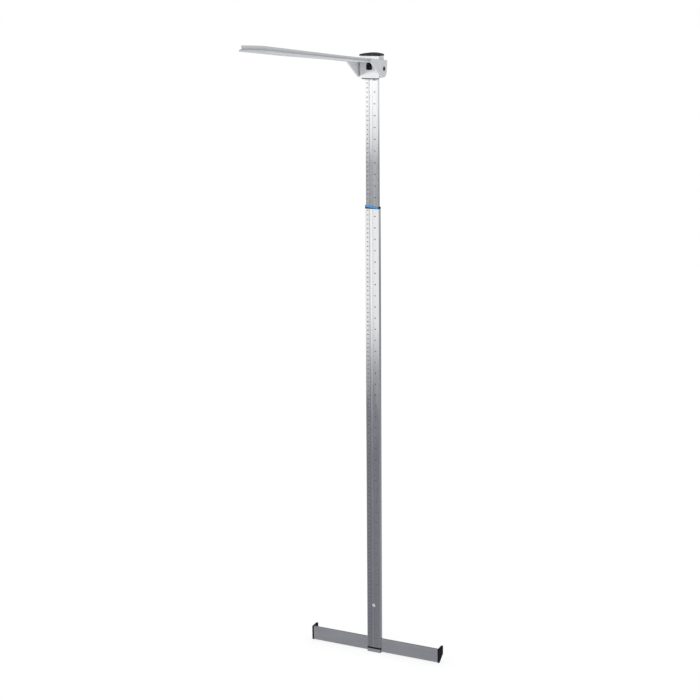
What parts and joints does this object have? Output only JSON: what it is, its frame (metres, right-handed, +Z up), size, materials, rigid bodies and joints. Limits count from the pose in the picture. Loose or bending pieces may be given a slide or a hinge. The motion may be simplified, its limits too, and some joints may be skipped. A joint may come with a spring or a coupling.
{
  "type": "telescopic height measuring rod",
  "caption": "Telescopic height measuring rod with printed centimetre and inch scales, a sliding head with a fold-down head arm, and a flat crossbar foot with end caps.",
  "frame": {"origin": "middle of the mast's foot, on the plane of its underside", "axes": "+Z up the mast, -Y the way the head arm points, X along the crossbar"},
  "size_m": [0.327, 0.5729, 1.4259],
  "materials": {
    "anodised_tube": "satin silver anodised, fine drawn grain along the length",
    "anodised_rod": "satin silver anodised, fine drawn grain",
    "anodised_bar": "satin anodised flat bar, grain along the bar",
    "cm_print": "satin foil with printed centimetre scale",
    "inch_print": "satin foil with printed inch scale",
    "black_plastic": "matt moulded black",
    "blue_plastic": "smooth bright blue",
    "grey_plastic": "matt mid grey moulded",
    "head_plastic": "fine textured light grey moulding",
    "arm_plastic": "fine textured light grey moulding",
    "button_plastic": "semi-gloss black",
    "nylon": "natural nylon",
    "rubber_black": "matt black rubber",
    "steel": "zinc-plated steel",
    "dark_steel": "blackened steel",
    "spring_steel": "bright spring steel",
    "cast_insert": "as-machined aluminium"
  },
  "bodies": {
    "mast": {"outer_tube": "anodised_tube", "cm_scale_outer": "cm_print", "inch_scale_outer": "inch_print", "collar": "black_plastic", "reading_strip": "blue_plastic", "friction_leaf": "spring_steel", "leaf_rivets": "steel", "fixing_sleeve": "nylon", "crossbar": "anodised_bar", "end_cap_left": "black_plastic", "end_cap_right": "black_plastic", "cap_screws": "steel", "foot_plug": "grey_plastic", "foot_gasket": "rubber_black", "foot_insert": "cast_insert", "insert_rivets": "steel", "clamp_plate": "anodised_bar", "clamp_screws": "steel"},
    "inner_rod": {"inner_tube": "anodised_rod", "cm_scale_inner": "cm_print", "inch_scale_inner": "inch_print", "lower_glide": "nylon", "glide_rivet": "steel", "end_block_rivet": "steel", "rod_end_block": "head_plastic", "top_cap": "black_plastic"},
    "head": {"head_block": "head_plastic", "back_cover": "head_plastic", "cover_screws": "steel", "reading_edge": "dark_steel", "channel_liner_left": "nylon", "channel_liner_right": "nylon", "button_bezel": "head_plastic", "button_spring": "spring_steel", "brake_shoe": "nylon", "brake_leaf": "spring_steel", "pivot_screw_left": "dark_steel", "pivot_screw_right": "dark_steel", "spring_washer_left": "spring_steel", "spring_washer_right": "spring_steel"},
    "button": {"release_button": "button_plastic"},
    "arm": {"head_arm": "arm_plastic", "pivot_bush_left": "nylon", "pivot_bush_right": "nylon"}
  },
  "joints": [
    {"name": "rod_slide", "type": "slide", "parent": "mast", "child": "inner_rod", "axis": [0, 0, 1], "range_m": [-0.31, 0.45]},
    {"name": "head_slide", "type": "slide", "parent": "inner_rod", "child": "head", "axis": [0, 0, 1], "range_m": [-0.92, 0]},
    {"name": "arm_fold", "type": "hinge", "parent": "head", "child": "arm", "pos_m": [0, -0.0043, 1.354], "axis": [1, 0, 0], "range_deg": [0, 95.4]},
    {"name": "button_press", "type": "slide", "parent": "head", "child": "button", "axis": [0, 1, 0], "range_m": [0, 0.0025], "stiffness_N_per_m": 800, "springref_m": -0.0015, "deforming": ["button_spring"]}
  ]
}
